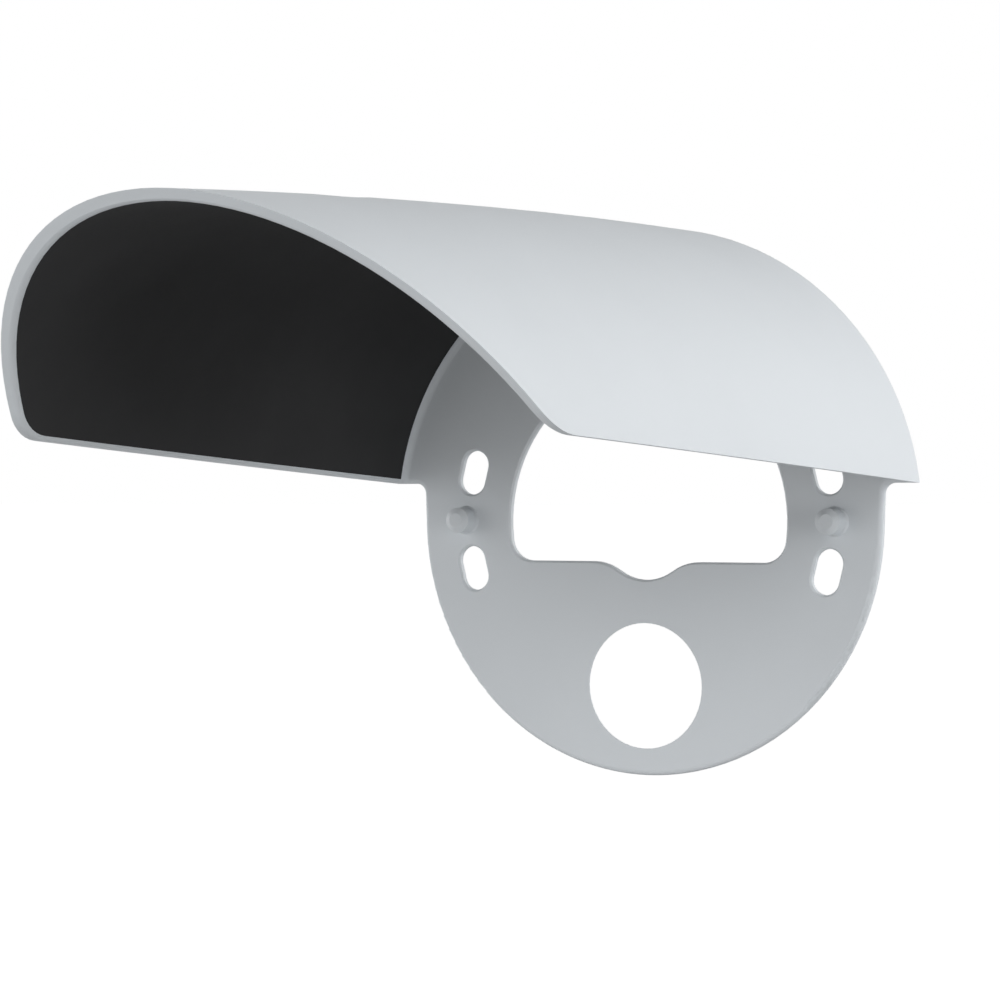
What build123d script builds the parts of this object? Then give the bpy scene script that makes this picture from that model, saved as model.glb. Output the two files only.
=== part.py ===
from build123d import *
import os
from math import cos, radians, sin, tan

# Camera sun shield: a half-round hood over a round mounting plate, moulded in one piece.
# Millimetres. X points right, -Y points forward out of the wall, Z points up.
# The wall plane is Y = 0, and the hood and the plate are centred on the Y axis.

# Mounting plate
plate_radius = 75.0
plate_thickness = 2.2
plate_side_lean = 1.8        # degrees by which the straight sides above the round part lean out

# Hood
hood_length = 257.0          # reach of the top edge from the wall
hood_step = 11.3             # how far the hood stands out from the plate's rim at the wall
hood_taper = 9.3             # how much its radius falls from the wall to the end of the reach
hood_bow = 1.9               # how far the profile stands out from its chord
hood_wall = 2.9
front_lean = 44.54           # degrees by which the open front leans back from upright
lower_edge_height = 11.1     # height of the hood's lower edges at the wall
lower_edge_rise = 3.0        # degrees by which the lower edges climb forward
lower_corner_radius = 20.0   # round between a lower edge and the open front

# Black lining, let into the hood's inner face so that both are flush
lining_thickness = 0.5
lining_edge_gap = 1.2        # from the hood's lower edges and open front
lining_root_gap = 0.2        # from the rounded corner at the plate

# Rounded edges and inside corners
edge_round = 1.5             # around the opening and along the plate's front edge
root_round = 1.7             # inside corner between plate and hood
step_round = 3.2             # inside corner where the plate's rim meets the hood's lower edge
cutout_bevel = 0.6           # front edge of the window and of the slots
round_share = 0.8            # largest part of a wall's thickness that a round or bevel may take

# Window for the camera, with a flat bottom and a notch for its cable
window_radius = 45.4
window_bottom = 12.0         # below the plate's centre
window_corner_radius = 7.0
notch_depth = 5.4            # below the window's bottom
notch_radius = 15.7
notch_blend_radius = 15.5

# Twist slots, centred on the fixing circle
fixing_radius = 59.75
slot_width = 8.55
slot_length = 13.45
slot_angle = 14.0            # degrees above and below the horizontal

# Pegs, just outside the fixing circle
peg_offset = 0.75            # from the fixing circle out to a peg's centre
peg_diameter = 7.6
peg_height = 6.6
peg_tip_inset = 1.65         # bevel of the tip, measured across the peg
peg_tip_depth = 1.0          # bevel of the tip, measured along the peg
peg_root_bevel = 0.6

# Cable hole, flared from the wall side
cable_hole_radius = 18.5
cable_hole_margin = 7.9      # plate left between the hole and the plate's rim
cable_hole_land = 0.5        # straight length behind the plate's front face

# How far a cutting shape runs past what it cuts
overrun = 5.0

hood_back_radius = plate_radius + hood_step
hood_front_radius = hood_back_radius - hood_taper


def hood_radius(forward):
    """Outside radius of the hood at a distance forward of the wall."""
    share = forward / hood_length
    chord = hood_back_radius + (hood_front_radius - hood_back_radius) * share
    return chord + 4 * hood_bow * share * (1 - share)


def hood_body(inset, start):
    """Solid turned about the Y axis, inside the hood's outer face by the inset."""
    end = hood_length + overrun
    back, middle, front = [
        (hood_radius(forward) - inset, -forward) for forward in (start, (start + end) / 2, end)
    ]
    profile = ThreePointArc(back, middle, front) + Polyline(front, (0, -end), (0, -start), back)
    return revolve(make_face(profile), Axis.Y)


def side_prism(inset):
    """Prism across the hood, inside its lower edges, lower corners and open front by the inset."""
    rise = tan(radians(lower_edge_rise))
    lean = tan(radians(front_lean))
    front_foot = hood_length - lean * hood_front_radius
    corner_height = (lower_edge_height + rise * front_foot) / (1 - rise * lean)
    corner = (-front_foot - lean * corner_height, corner_height)
    top = hood_back_radius + overrun
    outline = make_face(
        Polyline((0, lower_edge_height), corner, (-front_foot - lean * top, top), (0, top), close=True)
    )
    lower_corner = outline.vertices().sort_by_distance(corner)[0]
    outline = offset(fillet(lower_corner, lower_corner_radius), -inset)
    return extrude(Plane.YZ * outline, hood_back_radius + overrun, both=True)


def plate_outline():
    """Round plate whose sides run up straight from the circle into the hood."""
    lean = radians(plate_side_lean)
    half_width, drop = plate_radius * cos(lean), plate_radius * sin(lean)
    top = lower_edge_height + step_round
    top_half_width = half_width + (top + drop) * tan(lean)
    round_part = CenterArc((0, 0), plate_radius, 180 + plate_side_lean, 180 - 2 * plate_side_lean)
    sides = Polyline(
        (half_width, -drop), (top_half_width, top), (-top_half_width, top), (-half_width, -drop)
    )
    return make_face(round_part + sides)


def window_outline():
    """Circle with a flat bottom, rounded lower corners and a blended notch."""
    window = Circle(window_radius)
    window -= Pos(0, -window_bottom - window_radius) * Rectangle(2 * window_radius, 2 * window_radius)
    window = fillet(window.vertices(), window_corner_radius)
    window += Pos(0, notch_radius - notch_depth - window_bottom) * Circle(notch_radius)
    notch_corners = window.vertices().sort_by_distance((0, -window_bottom))[:2]
    return fillet(notch_corners, notch_blend_radius)


def slot_outlines():
    """Four slots lying along the fixing circle, a pair on each side."""
    slot = Rot(0, 0, 90) * SlotOverall(slot_length, slot_width)
    angles = [side + tilt for side in (0, 180) for tilt in (-slot_angle, slot_angle)]
    return [Rot(0, 0, angle) * Pos(fixing_radius, 0) * slot for angle in angles]


def front_edges(edges):
    """Those of the edges that lie furthest forward."""
    return edges.group_by(Axis.Y)[0]


def front_arc(body, radius):
    """The round edge in the plate's front face whose radius is nearest the one given."""
    arcs = body.edges().filter_by(GeomType.CIRCLE)
    arcs = arcs.filter_by_position(Axis.Y, -1.5 * plate_thickness, -0.5 * plate_thickness)
    return arcs.sort_by(lambda arc: abs(arc.radius - radius))[0]


def hood_and_plate():
    """Hood and plate in one, with the root, the step corners and the front edges rounded."""
    hood = hood_body(0, 0) & side_prism(0)
    hood -= hood_body(hood_wall, plate_thickness)
    plate = extrude(Plane.XZ * plate_outline(), plate_thickness)
    body = hood + plate
    body = fillet(new_edges(hood, plate, combined=body), step_round)
    body = fillet(front_arc(body, hood_radius(plate_thickness) - hood_wall), root_round)

    # The plate's rim, the hood's lower edges and its open front are one smooth run of edges
    run_round = min(edge_round, round_share * plate_thickness, round_share * hood_wall)
    return fillet(front_arc(body, plate_radius), run_round)


def cut_plate(body):
    """Window, slots and cable hole, each with its own edge."""
    outlines = [window_outline(), *slot_outlines()]
    cuts = extrude(Plane.XZ * Compound(outlines), plate_thickness + overrun)
    opened = body - cuts
    rims = front_edges(new_edges(body, combined=opened))
    opened = chamfer(rims, min(cutout_bevel, round_share * plate_thickness))

    hole_drop = plate_radius - cable_hole_margin - cable_hole_radius
    hole = Plane.XZ * Pos(0, -hole_drop) * Circle(cable_hole_radius)
    drilled = opened - extrude(hole, plate_thickness + overrun)
    wall_edge = new_edges(opened, combined=drilled).sort_by(Axis.Y)[-1]
    return chamfer(wall_edge, plate_thickness - cable_hole_land)


def add_pegs(body):
    """Two round pegs with bevelled tips on the plate's front face, left and right."""
    front = Plane.XZ.offset(plate_thickness)
    for side in (-1, 1):
        centre = Pos(side * (fixing_radius + peg_offset), 0)
        peg = extrude(front * centre * Circle(peg_diameter / 2), peg_height)
        tip = peg.faces().sort_by(Axis.Y)[0]
        peg = chamfer(tip.edges(), peg_tip_inset, peg_tip_depth, reference=tip)
        joined = body + peg
        foot = new_edges(body, combined=joined).group_by(Axis.Y)[-1]
        body = chamfer(foot, peg_root_bevel)
    return body


def lining_space():
    """Space that the lining takes up at the hood's inner face, short of the edges around it."""
    start = plate_thickness + root_round + lining_root_gap
    return hood_body(hood_wall - lining_thickness, start) & side_prism(lining_edge_gap)


moulding = add_pegs(cut_plate(hood_and_plate()))
nodes = {"shield_shell": moulding - lining_space(), "anti_glare_lining": moulding & lining_space()}

os.makedirs("parts", exist_ok=True)
for name, solid in nodes.items():
    export_step(solid, f"parts/{name}.step")
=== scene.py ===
from math import radians

import bpy
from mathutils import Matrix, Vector

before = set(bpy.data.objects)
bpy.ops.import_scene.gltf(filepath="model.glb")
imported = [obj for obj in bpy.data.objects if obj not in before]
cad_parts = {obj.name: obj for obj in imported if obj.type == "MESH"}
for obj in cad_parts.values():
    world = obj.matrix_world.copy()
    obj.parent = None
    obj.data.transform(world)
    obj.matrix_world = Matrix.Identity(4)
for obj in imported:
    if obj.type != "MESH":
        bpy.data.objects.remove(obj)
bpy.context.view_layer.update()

# Camera sun shield: a light grey moulded hood and plate, with a matt black lining under the hood.
# Metres. X points right, -Y points forward out of the wall, Z points up.
# The wall plane is Y = 0, and the hood and the plate are centred on the Y axis.

MM = 0.001
WHITE = "#FFFFFF"

# Camera, level at the photograph's eye height, to the right of the open front
CAMERA_PLACE = (0.4286, -0.8663, 0.0068)
CAMERA_TILT = 90.0           # degrees up from straight down
CAMERA_TURN = 28.92          # degrees from the front towards the right
CAMERA_LENS = 117.7          # millimetres, as is the sensor's width
CAMERA_SENSOR = 36.0
CAMERA_SHIFT_Y = -0.0021

# Noise textures
NOISE_LOW = 0.3              # most of a noise's values lie between low and high
NOISE_HIGH = 0.7
NOISE_LAYERING = 0.55        # strength of each finer layer against the one before
FINE_DETAIL = 3.0
SLOW_DETAIL = 2.0
PATCHY_DETAIL = 4.0

PLASTIC_IOR = 1.5

# Light grey moulding
SHELL_TINT = "#DCE1E5"
SHELL_TINT_DULL = "#D9DEE2"
SHELL_GRAIN = 0.6 * MM       # pit to pit, coarser than the real tool's 0.15 mm so that it shows
SHELL_RELIEF = 0.02 * MM     # depth of the grain
SHELL_BUMP = 0.25
SHELL_FLOW = 60 * MM         # slow unevenness from the plastic's flow
SHELL_GLOSSIEST = 0.56       # roughness in the grain's smoothest spots
SHELL_DULLEST = 0.66
SHELL_HANDLING = 24 * MM     # patches slightly polished by handling
SHELL_POLISH = 0.05          # what full polish takes off the roughness
POLISH_STARTS = 0.5          # handling noise at which the polish starts, and at which it is full
POLISH_FULL = 0.8

# Black lining
LINING_TINT = "#444445"
LINING_TINT_DEEP = "#3E3E3F"
LINING_GRAIN = 0.8 * MM      # speckle of the sprayed coat, coarser than life so that it shows
LINING_RELIEF = 0.03 * MM
LINING_BUMP = 0.3
LINING_CLOUD = 50 * MM       # uneven cover of the coat
LINING_GLOSSIEST = 0.85
LINING_DULLEST = 0.95
LINING_REFLECTION = 0.04     # a smooth plastic has 0.5; the open coat swallows nearly all of it

# Floor. It shows brighter than its lit colour, so that it comes out white: near the object by the
# first lift, which leaves its shadow in sight, and from the further distance on by the second.
FLOOR_TINT = "#A6A6A6"
FLOOR_HEIGHT = -0.5
FLOOR_HALF_SIZE = 200.0
FLOOR_DISTANCES = (0.7, 2.2)
FLOOR_LIFTS = (0.72, 1.0)

# Even light from all around, and how bright the surround shows
AMBIENT_LIGHT = 0.05
SHOWN_WHITE = 1.0

# Soft boxes: name, place, side length and watts. All of them are turned to the hood's middle.
HOOD_MIDDLE = Vector((0, -0.1, 0))
SOFT_BOXES = [
    ("right", (1.6, -0.2, 0.2), 1.4, 4.6),
    ("right_level", (1.8, -0.5, -0.1), 0.7, 5.7),
    ("right_front_high", (1.1, -1.2, 0.75), 0.7, 4.5),
    ("front", (0.0, -2.0, 0.2), 1.4, 4.9),
    ("front_level", (0.0, -2.0, -0.15), 0.6, 4.2),
    ("front_high", (0.0, -1.7, 0.75), 0.7, 2.6),
    ("left_front", (-1.3, -1.2, 0.3), 1.4, 9.1),
    ("left", (-1.7, 0.3, 0.1), 1.0, 7.4),
    ("right_back", (1.2, 1.2, 0.4), 1.4, 12.3),
    ("top_right_back", (1.0, 0.8, 1.3), 1.4, 7.7),
]


def linear(hex_colour):
    """sRGB hex colour as linear red, green, blue and full alpha."""
    parts = [int(hex_colour[i:i + 2], 16) / 255 for i in (1, 3, 5)]
    return [p / 12.92 if p <= 0.04045 else ((p + 0.055) / 1.055) ** 2.4 for p in parts] + [1.0]


def add_node(tree, kind, inputs=None, **settings):
    """A node of this kind, with its settings, and with a link or a value for each input named."""
    node = tree.nodes.new(kind)
    for name, value in settings.items():
        setattr(node, name, value)
    for socket, source in (inputs or {}).items():
        target = node.inputs[socket]
        if isinstance(source, bpy.types.NodeSocket):
            tree.links.new(source, target)
        else:
            target.default_value = source
    return node


def new_material(name):
    """An empty node material and its tree."""
    material = bpy.data.materials.new(name)
    material.use_nodes = True
    material.node_tree.nodes.clear()
    return material, material.node_tree


def satin_asa():
    """Light grey ASA, injection moulded in a spark-eroded tool: a fine even grain takes the gloss
    off, so light rolls softly over the curves, and the finish is slightly uneven from flow."""
    material, tree = new_material("light_grey_asa_satin_moulded")
    place = add_node(tree, "ShaderNodeTexCoord").outputs["Object"]
    grain = add_node(tree, "ShaderNodeTexNoise", {
        "Vector": place, "Scale": 1 / SHELL_GRAIN,
        "Detail": FINE_DETAIL, "Roughness": NOISE_LAYERING,
    }).outputs["Fac"]
    flow = add_node(tree, "ShaderNodeTexNoise", {
        "Vector": place, "Scale": 1 / SHELL_FLOW,
        "Detail": SLOW_DETAIL, "Roughness": NOISE_LAYERING,
    }).outputs["Fac"]
    handled = add_node(tree, "ShaderNodeTexNoise", {
        "Vector": place, "Scale": 1 / SHELL_HANDLING,
        "Detail": PATCHY_DETAIL, "Roughness": NOISE_LAYERING,
    }).outputs["Fac"]

    # A colour mix has its factor at input 0, its colours at 6 and 7, and its colour at output 2
    evenness = add_node(tree, "ShaderNodeMapRange", {
        "Value": flow, "From Min": NOISE_LOW, "From Max": NOISE_HIGH,
    }).outputs["Result"]
    tint = add_node(tree, "ShaderNodeMix", {
        0: evenness, 6: linear(SHELL_TINT_DULL), 7: linear(SHELL_TINT),
    }, data_type="RGBA").outputs[2]

    grain_roughness = add_node(tree, "ShaderNodeMapRange", {
        "Value": grain, "From Min": NOISE_LOW, "From Max": NOISE_HIGH,
        "To Min": SHELL_GLOSSIEST, "To Max": SHELL_DULLEST,
    }).outputs["Result"]
    polish = add_node(tree, "ShaderNodeMapRange", {
        "Value": handled, "From Min": POLISH_STARTS, "From Max": POLISH_FULL,
        "To Min": 0.0, "To Max": SHELL_POLISH,
    }).outputs["Result"]
    roughness = add_node(tree, "ShaderNodeMath", {
        0: grain_roughness, 1: polish,
    }, operation="SUBTRACT").outputs[0]
    relief = add_node(tree, "ShaderNodeBump", {
        "Height": grain, "Strength": SHELL_BUMP, "Distance": SHELL_RELIEF,
    }).outputs["Normal"]
    shader = add_node(tree, "ShaderNodeBsdfPrincipled", {
        "Base Color": tint, "Roughness": roughness, "Normal": relief, "IOR": PLASTIC_IOR,
    }).outputs["BSDF"]
    add_node(tree, "ShaderNodeOutputMaterial", {"Surface": shader})
    return material


def matt_black_lining():
    """Matt black anti-glare coat: deep and soft, with a slight sprayed texture and hardly any
    reflection, so that the hood's inner face stays dark from every side."""
    material, tree = new_material("anti_glare_black_matt_coat")
    place = add_node(tree, "ShaderNodeTexCoord").outputs["Object"]
    grain = add_node(tree, "ShaderNodeTexNoise", {
        "Vector": place, "Scale": 1 / LINING_GRAIN,
        "Detail": FINE_DETAIL, "Roughness": NOISE_LAYERING,
    }).outputs["Fac"]
    cloud = add_node(tree, "ShaderNodeTexNoise", {
        "Vector": place, "Scale": 1 / LINING_CLOUD,
        "Detail": SLOW_DETAIL, "Roughness": NOISE_LAYERING,
    }).outputs["Fac"]

    cover = add_node(tree, "ShaderNodeMapRange", {
        "Value": cloud, "From Min": NOISE_LOW, "From Max": NOISE_HIGH,
    }).outputs["Result"]
    tint = add_node(tree, "ShaderNodeMix", {
        0: cover, 6: linear(LINING_TINT_DEEP), 7: linear(LINING_TINT),
    }, data_type="RGBA").outputs[2]
    roughness = add_node(tree, "ShaderNodeMapRange", {
        "Value": grain, "From Min": NOISE_LOW, "From Max": NOISE_HIGH,
        "To Min": LINING_GLOSSIEST, "To Max": LINING_DULLEST,
    }).outputs["Result"]
    relief = add_node(tree, "ShaderNodeBump", {
        "Height": grain, "Strength": LINING_BUMP, "Distance": LINING_RELIEF,
    }).outputs["Normal"]
    shader = add_node(tree, "ShaderNodeBsdfPrincipled", {
        "Base Color": tint, "Roughness": roughness, "Normal": relief, "IOR": PLASTIC_IOR,
        "Specular IOR Level": LINING_REFLECTION,
    }).outputs["BSDF"]
    add_node(tree, "ShaderNodeOutputMaterial", {"Surface": shader})
    return material


def give(node_name, material):
    """The CAD node wears this material all over."""
    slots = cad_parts[node_name].data.materials
    slots.clear()
    slots.append(material)


def place_camera():
    """The camera at the photograph's viewing angle."""
    data = bpy.data.cameras.new("camera")
    data.lens = CAMERA_LENS
    data.sensor_width = CAMERA_SENSOR
    data.sensor_fit = "HORIZONTAL"
    data.shift_y = CAMERA_SHIFT_Y
    camera = bpy.data.objects.new("camera", data)
    camera.location = CAMERA_PLACE
    camera.rotation_euler = (radians(CAMERA_TILT), 0, radians(CAMERA_TURN))
    bpy.context.scene.collection.objects.link(camera)
    bpy.context.scene.camera = camera


def soft_box(name, place, side, power):
    """A large square soft lamp, turned to the hood's middle."""
    data = bpy.data.lights.new(f"{name}_soft_box", "AREA")
    data.shape = "SQUARE"
    data.size = side
    data.energy = power
    lamp = bpy.data.objects.new(f"{name}_soft_box", data)
    lamp.location = place
    lamp.rotation_euler = (lamp.location - HOOD_MIDDLE).to_track_quat("Z", "Y").to_euler()
    bpy.context.scene.collection.objects.link(lamp)


def shows_white(tree):
    """1 for what is seen straight, in a reflection or through glass, and 0 for soft light."""
    path = add_node(tree, "ShaderNodeLightPath").outputs
    seen = add_node(tree, "ShaderNodeMath", {
        0: path["Is Camera Ray"], 1: path["Is Glossy Ray"],
    }, operation="MAXIMUM").outputs[0]
    return add_node(tree, "ShaderNodeMath", {
        0: seen, 1: path["Is Transmission Ray"],
    }, operation="MAXIMUM").outputs[0]


def pale_floor():
    """A wide pale floor under the object, which shows as white and keeps the object's shadow."""
    far = FLOOR_HALF_SIZE
    corners = [(-far, -far), (far, -far), (far, far), (-far, far)]
    mesh = bpy.data.meshes.new("floor")
    mesh.from_pydata([(x, y, FLOOR_HEIGHT) for x, y in corners], [], [(0, 1, 2, 3)])
    floor = bpy.data.objects.new("floor", mesh)
    bpy.context.scene.collection.objects.link(floor)

    material, tree = new_material("floor_white")
    place = add_node(tree, "ShaderNodeTexCoord").outputs["Object"]
    distance = add_node(tree, "ShaderNodeVectorMath", {0: place}, operation="LENGTH")
    lift = add_node(tree, "ShaderNodeMapRange", {
        "Value": distance.outputs["Value"],
        "From Min": FLOOR_DISTANCES[0], "From Max": FLOOR_DISTANCES[1],
        "To Min": FLOOR_LIFTS[0], "To Max": FLOOR_LIFTS[1],
    }).outputs["Result"]
    shown = add_node(tree, "ShaderNodeMath", {
        0: shows_white(tree), 1: lift,
    }, operation="MULTIPLY").outputs[0]
    lit = add_node(tree, "ShaderNodeBsdfDiffuse", {"Color": linear(FLOOR_TINT)}).outputs[0]
    glow = add_node(tree, "ShaderNodeEmission", {
        "Color": linear(WHITE), "Strength": shown,
    }).outputs[0]
    above = add_node(tree, "ShaderNodeAddShader", {0: lit, 1: glow}).outputs[0]

    # From below the floor is clear, so that the object's underside can be seen
    below = add_node(tree, "ShaderNodeBsdfTransparent").outputs[0]
    under = add_node(tree, "ShaderNodeNewGeometry").outputs["Backfacing"]
    both = add_node(tree, "ShaderNodeMixShader", {0: under, 1: above, 2: below}).outputs[0]
    add_node(tree, "ShaderNodeOutputMaterial", {"Surface": both})
    mesh.materials.append(material)


def white_surround():
    """An even surround that shows white and gives the object a little light from all around."""
    world = bpy.data.worlds.new("white_surround")
    bpy.context.scene.world = world
    world.use_nodes = True
    tree = world.node_tree
    tree.nodes.clear()
    lit = add_node(tree, "ShaderNodeBackground", {
        "Color": linear(WHITE), "Strength": AMBIENT_LIGHT,
    }).outputs[0]
    shown = add_node(tree, "ShaderNodeBackground", {
        "Color": linear(WHITE), "Strength": SHOWN_WHITE,
    }).outputs[0]
    both = add_node(tree, "ShaderNodeMixShader", {
        0: shows_white(tree), 1: lit, 2: shown,
    }).outputs[0]
    add_node(tree, "ShaderNodeOutputWorld", {"Surface": both})


place_camera()
give("shield_shell", satin_asa())
give("anti_glare_lining", matt_black_lining())

white_surround()
pale_floor()
for name, place, side, power in SOFT_BOXES:
    soft_box(name, place, side, power)

bpy.context.scene.view_settings.view_transform = "Standard"
